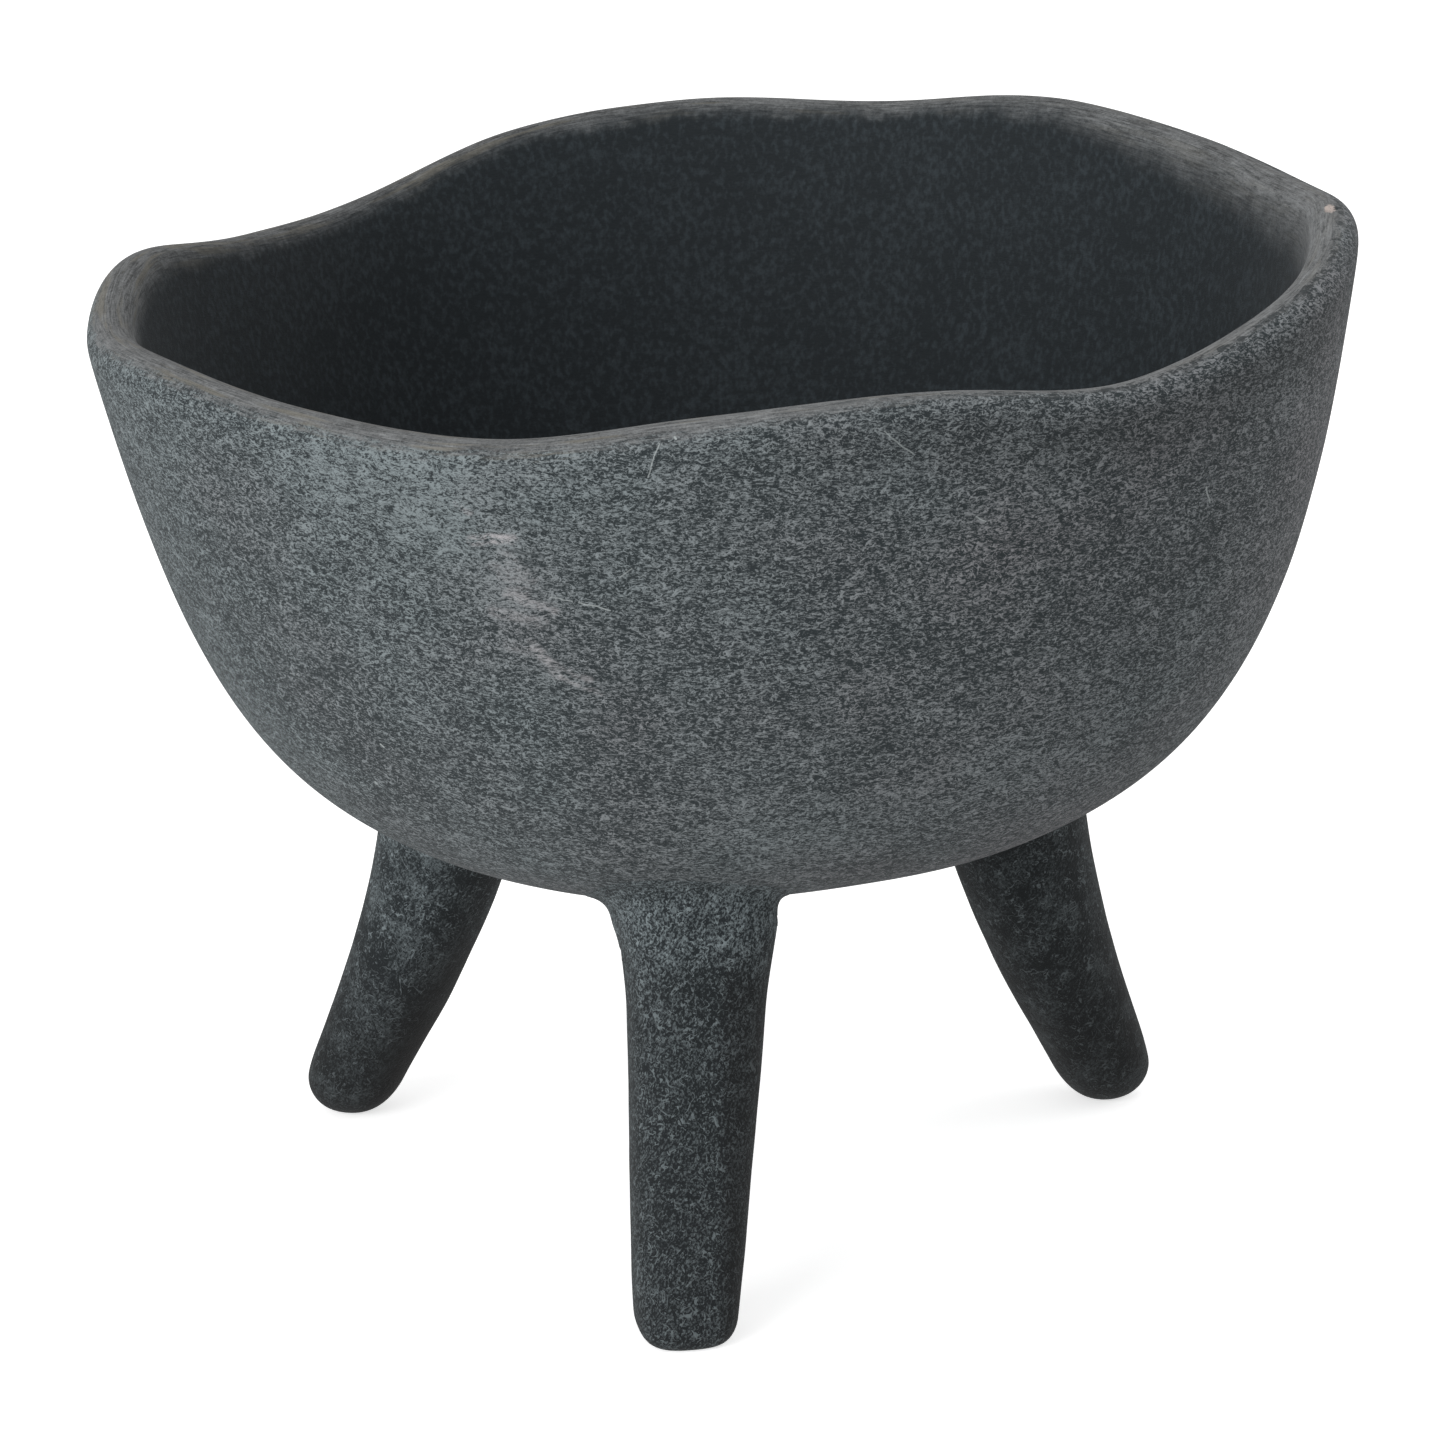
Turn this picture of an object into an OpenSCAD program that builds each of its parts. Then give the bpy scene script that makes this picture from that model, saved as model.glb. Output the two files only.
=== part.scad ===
// Molcajete: a thick, round bottomed bowl with an uneven hand shaped rim, standing on three
// tapered legs. Each leg is a separate piece stuck under the bowl, and a coil of the same
// clay is smoothed into the corner round its root. Lengths are in millimetres, +Z is up,
// the floor is z = 0 and -Y is the front. Angles round the bowl run from the front (0)
// through the right (90) and the back (180) to the left (270).

/* [Bowl] */

// mean radius of the rim, outside
rim_radius = 85; // [70:1:105]

// mean height of the rim above the underside of the bowl
bowl_height = 86; // [70:1:105]

// thickness of the wall at the rim
wall = 7; // [4.5:0.5:9]

// thickness of the bowl at the middle of its floor
floor_thickness = 9; // [6:0.5:13]

// how far the wall leans outwards at the rim, in degrees
rim_flare = 11; // [4:1:18]

// how strongly the rim wanders in and out
rim_wander = 1; // [0:0.1:1.3]

// how strongly the rim rises and dips
rim_wave = 1; // [0:0.1:1.3]

// how far the whole bowl is tipped up on its right side, in degrees
bowl_tip = 4; // [0:0.5:6]

/* [Legs] */

// height of the underside of the bowl above the floor
clearance_height = 50; // [35:1:65]

// distance from the middle of the bowl to the middle of a foot
foot_reach = 63; // [50:1:75]

// radius of a leg just above its foot
foot_radius = 6.5; // [5:0.5:9]

// radius of a leg where it meets the bowl
root_radius = 10.5; // [8:0.5:14]

// lean of a leg just above its foot, in degrees from upright
foot_lean = 30; // [10:1:35]

// lean of a leg at its root, in degrees from upright
root_lean = 6; // [0:1:25]

/* [Coils] */

// how far a coil reaches out along the bowl from the leg
coil_out = 4; // [1.5:0.1:6]

// how far a coil reaches down the leg from the bowl
coil_down = 6; // [2:0.5:9]

/* [Hidden] */

// Rim offsets from the mean radius and the mean height, one pair every 20 degrees from
// the front. They are the maker's hand: each is a round number of half millimetres.
rim_outs = [-0.5, 1, 4, 8.5, 5.5, 2, -1, -3.5, -3, -1.5, -1, -1.5, -3.5, -1, 0.5, -0.5, -2, -1.5];
rim_ups = [-4, -3.5, -7, -1.5, 2.5, 1, 3, 6, 4, 5, 3.5, -3, -2.5, 1.5, -2, -2, -4.5, -6.5];
rim_n = len(rim_outs);

// The bowl tips about a point this far above its underside.
tip_pivot = 40;

// Shape of the side view: the flat run of the underside, the fullest point of the belly
// and the straight run of the wall under the rim.
flat_run = 0.47 * rim_radius;
belly_out = 0.79;
belly_up = 0.1 * bowl_height;
wall_run = 0.58 * bowl_height;

// Mesh steps of the bowl: round it, up the outside, over the lip and down the inside.
around = 96;
outside_steps = 22;
lip_steps = 8;
inside_steps = 20;

// Mesh steps of a leg: round it, up the rounded tip, up the shaft and up the root.
leg_around = 32;
tip_steps = 6;
shaft_steps = 8;
root_steps = 2;
cap_steps = 3;
fillet_steps = 6;

// Each leg: angle round the bowl, reach beyond the mean, width beyond the mean, squareness
// of its section (2 is round), turn of the section, inset and height of the rounded tip,
// and the side of the leg on which its coil is fuller.
front_leg = [-5, -1.5, -0.4, 3, 14, 2, 3.5, 270];
right_leg = [121, 3, 1.2, 2.1, 0, 4.8, 6.5, 60];
left_leg = [243, -1, 0.4, 2.1, 0, 4.8, 6.5, 300];

// A leg stands upright just above the floor and takes up its lean over this height.
lean_start = 10;

// Share by which a coil is fuller on one side and slighter on the other.
coil_bias = 0.35;

clay_dark = [0.27, 0.29, 0.30];
clay_mid = [0.22, 0.24, 0.25];
clay_pale = [0.35, 0.37, 0.38];

// ---- the rim: a smooth closed curve through the stations ----

function blend(a, b, c, d, t) =
    b + t * ((c - a) / 2 + t * ((2 * a - 5 * b + 4 * c - d) / 2 + t * (3 * b - a - 3 * c + d) / 2));

function station(list, angle) =
    let (u = (((angle % 360) + 360) % 360) * rim_n / 360, i = floor(u))
    blend(
        list[(i + rim_n - 1) % rim_n],
        list[i % rim_n],
        list[(i + 1) % rim_n],
        list[(i + 2) % rim_n],
        u - i
    );

function rim_r(angle) = rim_radius + rim_wander * station(rim_outs, angle);
function rim_z(angle) = bowl_height + rim_wave * station(rim_ups, angle) - wall / 2;

// ---- the side view of the bowl at one angle, as [radius, height] in the bowl's own frame ----

function wall_dir() = [sin(rim_flare), cos(rim_flare)];
function outward_dir() = [cos(rim_flare), -sin(rim_flare)];

// The four control points of the outside after the first, which is [0, 0].
function controls(angle) =
    let (end = [rim_r(angle), rim_z(angle)])
    [[flat_run, 0], [belly_out * end[0], belly_up], end - wall_run * wall_dir(), end];

function side(c, s) =
    let (t = 1 - s)
    4 * t * t * t * s * c[0] + 6 * t * t * s * s * c[1] + 4 * t * s * s * s * c[2] + s * s * s * s * c[3];

function side_slope(c, s) =
    let (t = 1 - s)
    4 * (t * t * t * c[0] + 3 * t * t * s * (c[1] - c[0]) + 3 * t * s * s * (c[2] - c[1])
        + s * s * s * (c[3] - c[2]));

// The inside lies one thickness in from the outside, square to it.
function inside(c, s) =
    let (d = side_slope(c, s), n = [-d[1], d[0]] / norm(d), thick = floor_thickness + (wall - floor_thickness) * s)
    side(c, s) + thick * n;

// The lip is half a circle from the outside, over the top, to the inside.
function lip(c, turn) =
    c[3] - wall / 2 * outward_dir() + wall / 2 * (cos(turn) * outward_dir() + sin(turn) * wall_dir());

// ---- from the bowl's own frame to the model's ----

function tipped(p) =
    let (h = p[2] - tip_pivot)
    [
        p[0] * cos(bowl_tip) - h * sin(bowl_tip),
        p[1],
        p[0] * sin(bowl_tip) + h * cos(bowl_tip) + tip_pivot + clearance_height
    ];

function untipped(p) =
    let (h = p[2] - tip_pivot - clearance_height)
    [
        p[0] * cos(bowl_tip) + h * sin(bowl_tip),
        p[1],
        h * cos(bowl_tip) - p[0] * sin(bowl_tip) + tip_pivot
    ];

function spun(rz, angle) = [rz[0] * sin(angle), -rz[0] * cos(angle), rz[1]];

// The rim sets the bounds in plan, and every piece shifts so that their middle is the origin.
rim_points = [
    for (k = [0 : around - 1], turn = [0, 20])
        tipped(spun(lip(controls(360 * k / around), turn), 360 * k / around))
];
rim_xs = [for (p = rim_points) p[0]];
rim_ys = [for (p = rim_points) p[1]];
centring = -[max(rim_xs) + min(rim_xs), max(rim_ys) + min(rim_ys), 0] / 2;

// ---- solids from rings of points ----

// Closes a stack of rings between two end points. Rings turn anticlockwise seen from the
// last ring's side.
function ring_faces(count, rings) = concat(
    [for (j = [0 : count - 1]) [0, 1 + j, 1 + (j + 1) % count]],
    [for (i = [0 : rings - 2], j = [0 : count - 1])
        [1 + i * count + j, 1 + (i + 1) * count + j, 1 + i * count + (j + 1) % count]],
    [for (i = [0 : rings - 2], j = [0 : count - 1])
        [1 + i * count + (j + 1) % count, 1 + (i + 1) * count + j, 1 + (i + 1) * count + (j + 1) % count]],
    [for (j = [0 : count - 1])
        [1 + rings * count, 1 + (rings - 1) * count + (j + 1) % count, 1 + (rings - 1) * count + j]]
);

// Joins a stack of rings into a tube whose last ring meets its first.
function loop_faces(count, rings) = concat(
    [for (i = [0 : rings - 1], j = [0 : count - 1])
        [i * count + j, ((i + 1) % rings) * count + j, i * count + (j + 1) % count]],
    [for (i = [0 : rings - 1], j = [0 : count - 1])
        [i * count + (j + 1) % count, ((i + 1) % rings) * count + j, ((i + 1) % rings) * count + (j + 1) % count]]
);

// ---- the bowl ----

function bowl_rings() =
    let (profiles = [for (k = [0 : around - 1]) controls(360 * k / around)])
    concat(
        [for (i = [1 : outside_steps], k = [0 : around - 1])
            tipped(spun(side(profiles[k], i / outside_steps), 360 * k / around))],
        [for (i = [1 : lip_steps - 1], k = [0 : around - 1])
            tipped(spun(lip(profiles[k], 180 * i / lip_steps), 360 * k / around))],
        [for (i = [0 : inside_steps - 1], k = [0 : around - 1])
            tipped(spun(inside(profiles[k], 1 - i / inside_steps), 360 * k / around))]
    );

module bowl() {
    points = concat(
        [tipped([0, 0, 0])],
        bowl_rings(),
        [tipped([0, 0, floor_thickness])]
    );
    color(clay_dark)
        translate(centring)
            polyhedron(points, ring_faces(around, outside_steps + lip_steps - 1 + inside_steps), 4);
}

// ---- the underside, where legs and coils meet it ----

// Height along the side view at which the outside reaches this radius.
function find_step(c, r, low, high, tries) =
    let (mid = (low + high) / 2)
    tries == 0 ? mid : side(c, mid)[0] < r ? find_step(c, r, mid, high, tries - 1) : find_step(c, r, low, mid, tries - 1);

// How far above a point the underside is, straight up.
function rise_to_bowl(p) =
    let (
        q = untipped(p),
        c = controls(atan2(q[0], -q[1])),
        s = find_step(c, norm([q[0], q[1]]), 0, 0.9, 17)
    )
    (side(c, s)[1] - q[2]) / cos(bowl_tip);

function underside(x, y, z, tries) =
    tries == 0 ? z : underside(x, y, z + rise_to_bowl([x, y, z]), tries - 1);

function on_underside(xy) = [xy[0], xy[1], underside(xy[0], xy[1], clearance_height, 5)];

// ---- the legs ----

function leg_way(leg) = [sin(leg[0]), -cos(leg[0])];

// The middle of the leg at a height: upright at the floor, then leaning in to the bowl.
function leg_middle(leg, z) =
    let (
        up = z < lean_start ? z * z / (2 * lean_start) : z - lean_start / 2,
        change = (tan(root_lean) - tan(foot_lean)) / (clearance_height + 10),
        in = tan(foot_lean) * up + change * up * up / 2
    )
    (foot_reach + leg[1] - in) * leg_way(leg);

// The leg widens quickly above its foot and more slowly towards its root.
function leg_radius(leg, z) =
    let (
        share = max(0, z) / (clearance_height + 10),
        full = foot_radius + (root_radius + leg[2] - foot_radius) * pow(share, 0.75),
        down = max(0, 1 - z / leg[6])
    )
    full - leg[5] * (1 - sqrt(max(0, 1 - down * down)));

// Distance of a rounded square section from its middle, for a section of radius 1.
function section(leg, angle) =
    let (a = angle - leg[4])
    pow(pow(abs(cos(a)), leg[3]) + pow(abs(sin(a)), leg[3]), -1 / leg[3]);

function leg_point(leg, angle, z, extra) =
    let (
        way = leg_way(leg),
        cross = [-way[1], way[0]],
        r = leg_radius(leg, z) * section(leg, angle) + extra,
        xy = leg_middle(leg, z) + r * cos(angle) * way + r * sin(angle) * cross
    )
    [xy[0], xy[1], z];

// Height at which the side of the leg meets the bowl.
function leg_meets(leg, angle, z, tries) =
    tries == 0 ? z : leg_meets(leg, angle, z + rise_to_bowl(leg_point(leg, angle, z, 0)), tries - 1);

function leg_heights(leg) =
    [for (j = [0 : leg_around - 1]) leg_meets(leg, 360 * j / leg_around, clearance_height, 7)];

// Heights of the rings on one side of the leg, from the sole to the bowl.
function leg_levels(leg, top, drop) = concat(
    [for (i = [0 : tip_steps]) leg[6] * (1 - cos(90 * i / tip_steps))],
    [for (i = [1 : shaft_steps]) leg[6] + (top - drop - leg[6]) * i / shaft_steps],
    [for (i = [1 : root_steps]) top - drop + drop * i / root_steps]
);

// The coil is fuller on one side: reach out and reach down at an angle round the leg.
function coil_share(leg, angle) =
    1 + coil_bias * cos(angle + leg[0] - leg[7]);

module leg(leg) {
    tops = leg_heights(leg);
    rings = tip_steps + 1 + shaft_steps + root_steps;
    levels = [
        for (j = [0 : leg_around - 1])
            leg_levels(leg, tops[j], coil_down * coil_share(leg, 360 * j / leg_around))
    ];
    mean_top = tops * [for (t = tops) 1] / leg_around;
    top_middle = leg_middle(leg, mean_top);
    sole = leg_middle(leg, 0);
    edge = [for (j = [0 : leg_around - 1]) leg_point(leg, 360 * j / leg_around, tops[j], 0)];
    points = concat(
        [[sole[0], sole[1], 0]],
        [for (i = [0 : rings - 1], j = [0 : leg_around - 1])
            leg_point(leg, 360 * j / leg_around, levels[j][i], 0)],
        [for (i = [1 : cap_steps - 1], j = [0 : leg_around - 1])
            on_underside(top_middle + (1 - i / cap_steps) * ([edge[j][0], edge[j][1]] - top_middle))],
        [on_underside(top_middle)]
    );
    translate(centring)
        polyhedron(points, ring_faces(leg_around, rings + cap_steps - 1), 4);
}

module leg_front() {
    color(clay_mid) leg(front_leg);
}

module leg_right() {
    color(clay_mid) leg(right_leg);
}

module leg_left() {
    color(clay_mid) leg(left_leg);
}

// ---- the coils ----

// One slice of a coil: along the bowl to the leg, down the leg, then back in a hollow curve.
function coil_slice(leg, angle, top) =
    let (
        share = coil_share(leg, angle),
        corner = leg_point(leg, angle, top, 0),
        far = leg_point(leg, angle, top, coil_out * share),
        out = on_underside([far[0], far[1]]),
        down = leg_point(leg, angle, top - coil_down * share, 0),
        half = leg_point(leg, angle, top - coil_down * share / 2, 0)
    )
    concat(
        [on_underside([corner[0] + far[0], corner[1] + far[1]] / 2)],
        [corner, half],
        [for (i = [0 : fillet_steps])
            let (s = i / fillet_steps, t = 1 - s)
            t * t * down + 2 * s * t * corner + s * s * out]
    );

module coil(leg) {
    tops = leg_heights(leg);
    slices = [
        for (j = [0 : leg_around - 1])
            coil_slice(leg, 360 * j / leg_around, tops[j])
    ];
    rings = len(slices[0]);
    points = [for (i = [0 : rings - 1], j = [0 : leg_around - 1]) slices[j][i]];
    translate(centring)
        polyhedron(points, loop_faces(leg_around, rings), 4);
}

module coil_front() {
    color(clay_pale) coil(front_leg);
}

module coil_right() {
    color(clay_pale) coil(right_leg);
}

module coil_left() {
    color(clay_pale) coil(left_leg);
}

// ---- the model ----

bowl();
leg_front();
leg_right();
leg_left();
coil_front();
coil_right();
coil_left();
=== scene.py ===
import math

import bpy
import numpy as np
from bpy.props import FloatProperty, FloatVectorProperty, IntProperty, PointerProperty
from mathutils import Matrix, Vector


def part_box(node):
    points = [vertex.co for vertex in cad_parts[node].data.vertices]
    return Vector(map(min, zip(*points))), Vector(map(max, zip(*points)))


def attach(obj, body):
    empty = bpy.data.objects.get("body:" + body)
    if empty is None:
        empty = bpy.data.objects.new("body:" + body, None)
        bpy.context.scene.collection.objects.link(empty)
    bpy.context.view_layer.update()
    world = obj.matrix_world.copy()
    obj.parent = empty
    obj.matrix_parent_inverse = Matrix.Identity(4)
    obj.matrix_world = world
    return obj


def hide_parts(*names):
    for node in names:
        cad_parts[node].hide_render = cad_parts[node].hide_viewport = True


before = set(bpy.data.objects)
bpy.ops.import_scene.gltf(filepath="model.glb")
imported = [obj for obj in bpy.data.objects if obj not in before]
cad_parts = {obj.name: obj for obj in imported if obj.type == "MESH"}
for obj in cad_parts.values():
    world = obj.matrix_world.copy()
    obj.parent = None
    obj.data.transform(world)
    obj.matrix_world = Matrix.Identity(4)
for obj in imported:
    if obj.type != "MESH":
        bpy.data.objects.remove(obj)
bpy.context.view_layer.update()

bl_info = {
    "name": "Three-legged clay molcajete",
    "version": (1, 0, 0),
    "blender": (4, 5, 0),
    "location": "3D View > Sidebar > Molcajete",
    "description": "Shapes and finishes a hand-built three-legged mortar around its fixed frame",
    "category": "Add Mesh",
}

BODY = "root"
SIDES = ("front", "right", "left")
MM = 0.001
WELD = 0.002 * MM                    # points nearer than this are one point
PAIRING_ANGLE = math.radians(60)     # two triangles that bend less than this make one quad
SHADING_ANGLE = math.radians(60)     # sharper edges stay sharp in the shading
RING_HEIGHT = 1.5 * MM               # half the height of the slice that gives a leg's middle
FLARE_START = 4 * MM                 # the flare is full at this distance from the bowl
FLAKE_REACH = 2.2                    # the finer faces round a flake, in flake radii
FLAKE_RAGGED = 0.22                  # how uneven the flake's edge is
FLAKE_STEEP = 2.2                    # how steeply the flake's edge goes down
RIM_SLICES = 192                     # the rim's crest is found in so many slices
DEEP = 15 * MM                       # further than this from the crest is bowl, not rim
RIM_DISTANCE = "from_rim"
LEG_FINISH = "matted_leg_clay"

# Marks on the front of the bowl, in mm across and up: start, end, half width, strength.
SCRATCHES = (
    ((-7.4, 129.8), (-8.9, 125.4), 0.13, 0.7),
    ((-17.7, 107.4), (-13.8, 106.5), 0.15, 0.7),
    ((-21.4, 107.9), (-18.6, 107.5), 0.14, 0.6),
    ((-12.4, 111.3), (-11.0, 112.6), 0.14, 0.5),
    ((21.0, 131.0), (24.6, 127.6), 0.14, 0.5),
    ((63.2, 118.0), (64.0, 115.6), 0.15, 0.7),
    ((33.0, 118.4), (34.2, 117.6), 0.15, 0.7),
    ((-44.6, 81.4), (-44.2, 81.1), 0.24, 1.0),
    ((-45.8, 74.0), (-45.6, 73.8), 0.22, 0.7),
    ((-5.5, 130.6), (-5.4, 130.4), 0.22, 1.0),
)
SCRAPES = (
    ((-31.2, 115.0), (-26.2, 115.8), 1.1, 0.6),
    ((-29.2, 115.4), (-27.2, 115.7), 0.9, 0.6),
    ((-27.2, 113.4), (-23.6, 110.2), 1.4, 0.25),
    ((-28.4, 111.6), (-24.8, 108.8), 1.6, 0.2),
    ((-26.8, 108.0), (-21.0, 106.0), 1.2, 0.45),
    ((-28.8, 105.2), (-22.4, 104.4), 1.3, 0.3),
    ((-23.8, 101.0), (-20.6, 96.6), 1.1, 0.35),
    ((-21.8, 98.6), (-16.4, 96.2), 0.8, 0.4),
    ((-20.2, 96.4), (-15.0, 94.2), 0.6, 0.4),
    ((-33.4, 119.8), (-31.6, 118.9), 0.6, 0.4),
    ((-27.0, 100.4), (-23.0, 99.6), 1.2, 0.2),
)
DARK_SCRAPES = (
    ((-26.6, 114.1), (-22.0, 113.7), 0.28, 0.6),
    ((-25.0, 112.9), (-21.8, 112.2), 0.6, 0.5),
    ((-22.6, 109.6), (-19.6, 109.2), 0.3, 0.5),
    ((-56.6, 117.8), (-53.8, 116.4), 0.5, 0.4),
)
# Spots outside that are paler (above 0) or darker, in mm: centre, how far it reaches, strength.
WORN_SPOTS = (
    ((-27, -77, 110), (15, 16, 10), 0.30),
    ((-23, -74.5, 98), (10, 16, 7), 0.28),
    ((-42, -73, 122), (34, 30, 13), 0.42),
)
# The broad spots are painted light and shade on the outside, paler or darker by where the light
# falls.
PAINTED_LIGHT_AND_SHADE = (
    ((4, -70, 66), (40, 30, 22), 0.20),
    ((46, -58, 82), (26, 30, 18), 0.10),
    ((16, -78, 108), (40, 30, 22), -0.05),
    ((-45, -52, 80), (34, 30, 20), -0.13),
    ((-62, -50, 104), (20, 30, 14), -0.06),
    ((60, -60, 113), (26, 30, 24), -0.07),
)


# ---------------------------------------------------------------- settings


class BowlSettings(bpy.types.PropertyGroup):
    """What a maker would change on the bowl."""

    smoothing: IntProperty(
        name="Smoothing", description="How many times the bowl's faces are divided",
        default=2, min=0, max=2)
    hollows: FloatProperty(
        name="Hand hollows", description="How deep the thumb pressed hollows of the wall are",
        default=0.4 * MM, min=0.0, max=2 * MM, unit="LENGTH")
    hollow_size: FloatProperty(
        name="Hollow size", description="How wide those hollows are",
        default=24 * MM, min=5 * MM, max=60 * MM, unit="LENGTH")
    chip: FloatVectorProperty(
        name="Rim chip", description="Where a flake has come off the rim",
        default=(82.9 * MM, -13.1 * MM, 144.9 * MM), subtype="XYZ", unit="LENGTH")
    chip_radius: FloatProperty(
        name="Chip radius", description="Half the width of the flake",
        default=1.5 * MM, min=0.0, max=5 * MM, unit="LENGTH")
    chip_depth: FloatProperty(
        name="Chip depth", description="How deep the flake went",
        default=0.45 * MM, min=0.0, max=2 * MM, unit="LENGTH")


class LegSettings(bpy.types.PropertyGroup):
    """What a maker would change on the legs."""

    smoothing: IntProperty(
        name="Smoothing", description="How many times a leg's faces are divided",
        default=3, min=0, max=3)
    dents: FloatProperty(
        name="Dents", description="How deep the dents from squeezing a leg are",
        default=0.3 * MM, min=0.0, max=2 * MM, unit="LENGTH")
    dent_size: FloatProperty(
        name="Dent size", description="How wide those dents are",
        default=11 * MM, min=2 * MM, max=30 * MM, unit="LENGTH")
    flare: FloatProperty(
        name="Flare", description="How much a leg widens where it meets the bowl",
        default=1.0 * MM, min=0.0, max=4 * MM, unit="LENGTH")
    flare_reach: FloatProperty(
        name="Flare reach", description="How far down the leg it widens",
        default=15 * MM, min=5 * MM, max=40 * MM, unit="LENGTH")


class CoilSettings(bpy.types.PropertyGroup):
    """What a maker would change on the coils of clay smeared round each leg's top."""

    smoothing: IntProperty(
        name="Smoothing", description="How many times a coil's faces are divided",
        default=2, min=0, max=3)
    reach: FloatProperty(
        name="Edge reach", description="What lies this near the bowl or leg is pressed into it",
        default=0.10 * MM, min=0.0, max=2 * MM, unit="LENGTH")
    sink: FloatProperty(
        name="Edge depth", description="How deep the coil's thin edge is pressed in",
        default=0.05 * MM, min=0.0, max=1 * MM, unit="LENGTH")
    crease_angle: FloatProperty(
        name="Crease angle", description="Edges sharper than this stay sharp",
        default=math.radians(50), subtype="ANGLE", unit="ROTATION")


class ClaySettings(bpy.types.PropertyGroup):
    """The clay's colours and surface."""

    dark: FloatVectorProperty(
        name="Dark slip", description="The dark of the brushed slip",
        default=(0.013, 0.020, 0.023), subtype="COLOR", min=0.0, max=1.0)
    light: FloatVectorProperty(
        name="Rubbed slip", description="The pale rubbed tops of the brush strokes",
        default=(0.190, 0.222, 0.231), subtype="COLOR", min=0.0, max=1.0)
    warm: FloatVectorProperty(
        name="Warm slip", description="The warmer grey that the slip drifts to",
        default=(0.206, 0.203, 0.214), subtype="COLOR", min=0.0, max=1.0)
    leg_dark: FloatVectorProperty(
        name="Dark leg slip", description="The dark of the legs' slip",
        default=(0.0060, 0.0094, 0.0112), subtype="COLOR", min=0.0, max=1.0)
    leg_light: FloatVectorProperty(
        name="Leg hairs", description="The pale matted marks on the legs",
        default=(0.130, 0.154, 0.162), subtype="COLOR", min=0.0, max=1.0)
    lip: FloatVectorProperty(
        name="Wiped lip", description="The brownish grey of the wiped lip",
        default=(0.104, 0.108, 0.110), subtype="COLOR", min=0.0, max=1.0)
    lip_olive: FloatVectorProperty(
        name="Olive lip", description="The olive patches along the lip",
        default=(0.150, 0.138, 0.108), subtype="COLOR", min=0.0, max=1.0)
    lip_dark: FloatVectorProperty(
        name="Dark lip", description="The dark streaks along the lip",
        default=(0.042, 0.046, 0.048), subtype="COLOR", min=0.0, max=1.0)
    scraped: FloatVectorProperty(
        name="Scraped slip", description="The pinkish grey where the front is scraped",
        default=(0.36, 0.35, 0.36), subtype="COLOR", min=0.0, max=1.0)
    inner: FloatVectorProperty(
        name="Inner slip", description="The near black of the inside",
        default=(0.0070, 0.0112, 0.0142), subtype="COLOR", min=0.0, max=1.0)
    inner_light: FloatVectorProperty(
        name="Inner mottle", description="The mottle of the inside",
        default=(0.0222, 0.0306, 0.0366), subtype="COLOR", min=0.0, max=1.0)
    bare: FloatVectorProperty(
        name="Bare clay", description="The pinkish clay under a flake",
        default=(0.42, 0.36, 0.33), subtype="COLOR", min=0.0, max=1.0)
    bare_light: FloatVectorProperty(
        name="Scratches", description="The pale grey of scratches and flecks",
        default=(0.34, 0.37, 0.37), subtype="COLOR", min=0.0, max=1.0)
    grain: FloatProperty(
        name="Grain", description="The width of the finest brush strokes",
        default=0.40 * MM, min=0.1 * MM, max=5 * MM, unit="LENGTH")
    relief: FloatProperty(
        name="Grain relief", description="How far the grain stands up",
        default=0.16 * MM, min=0.0, max=1 * MM, unit="LENGTH")
    roughness: FloatProperty(
        name="Roughness", description="How matt the slip is",
        default=0.82, min=0.0, max=1.0, subtype="FACTOR")


class StageSettings(bpy.types.PropertyGroup):
    """The floor, the lights and the camera."""

    floor_radius: FloatProperty(
        name="Floor radius", description="How far the floor reaches",
        default=3.0, min=1.0, max=20.0, unit="LENGTH")
    sweep_height: FloatProperty(
        name="Sweep height", description="How high the floor's edge curves up",
        default=3.0, min=0.1, max=20.0, unit="LENGTH")
    sky: FloatProperty(
        name="Room light", description="How bright the white room is",
        default=0.6, min=0.0, max=4.0)
    floor_glow: FloatProperty(
        name="Floor glow", description="How bright the floor is, as paper lit from below",
        default=0.6, min=0.0, max=4.0)
    key_power: FloatProperty(
        name="Key light", description="Power of the large soft light at the front left, in watts",
        default=14.0, min=0.0, max=200.0)
    top_power: FloatProperty(
        name="Top light", description="Power of the soft light overhead, in watts",
        default=1.5, min=0.0, max=200.0)
    edge_power: FloatProperty(
        name="Edge light", description="Power of the soft light behind on the right, in watts",
        default=3.0, min=0.0, max=200.0)
    aim: FloatVectorProperty(
        name="Aim", description="The point that the camera looks at",
        default=(0.6 * MM, 0.515 * MM, 68.1 * MM), subtype="XYZ", unit="LENGTH")
    distance: FloatProperty(
        name="Distance", description="From the camera to the aim",
        default=0.9, min=0.1, max=10.0, unit="LENGTH")
    elevation: FloatProperty(
        name="Elevation", description="How far the camera looks down",
        default=math.radians(16.7), subtype="ANGLE", unit="ROTATION")
    lens: FloatProperty(
        name="Lens", description="Focal length in millimetres",
        default=159.07, min=10.0, max=500.0)


# ---------------------------------------------------------------- shaping


def pick_only(piece):
    """Nothing but this piece is selected, and it is the active one."""
    if bpy.context.object and bpy.context.object.mode != "OBJECT":
        bpy.ops.object.mode_set(mode="OBJECT")
    bpy.ops.object.select_all(action="DESELECT")
    bpy.context.view_layer.objects.active = piece
    piece.select_set(True)


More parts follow.
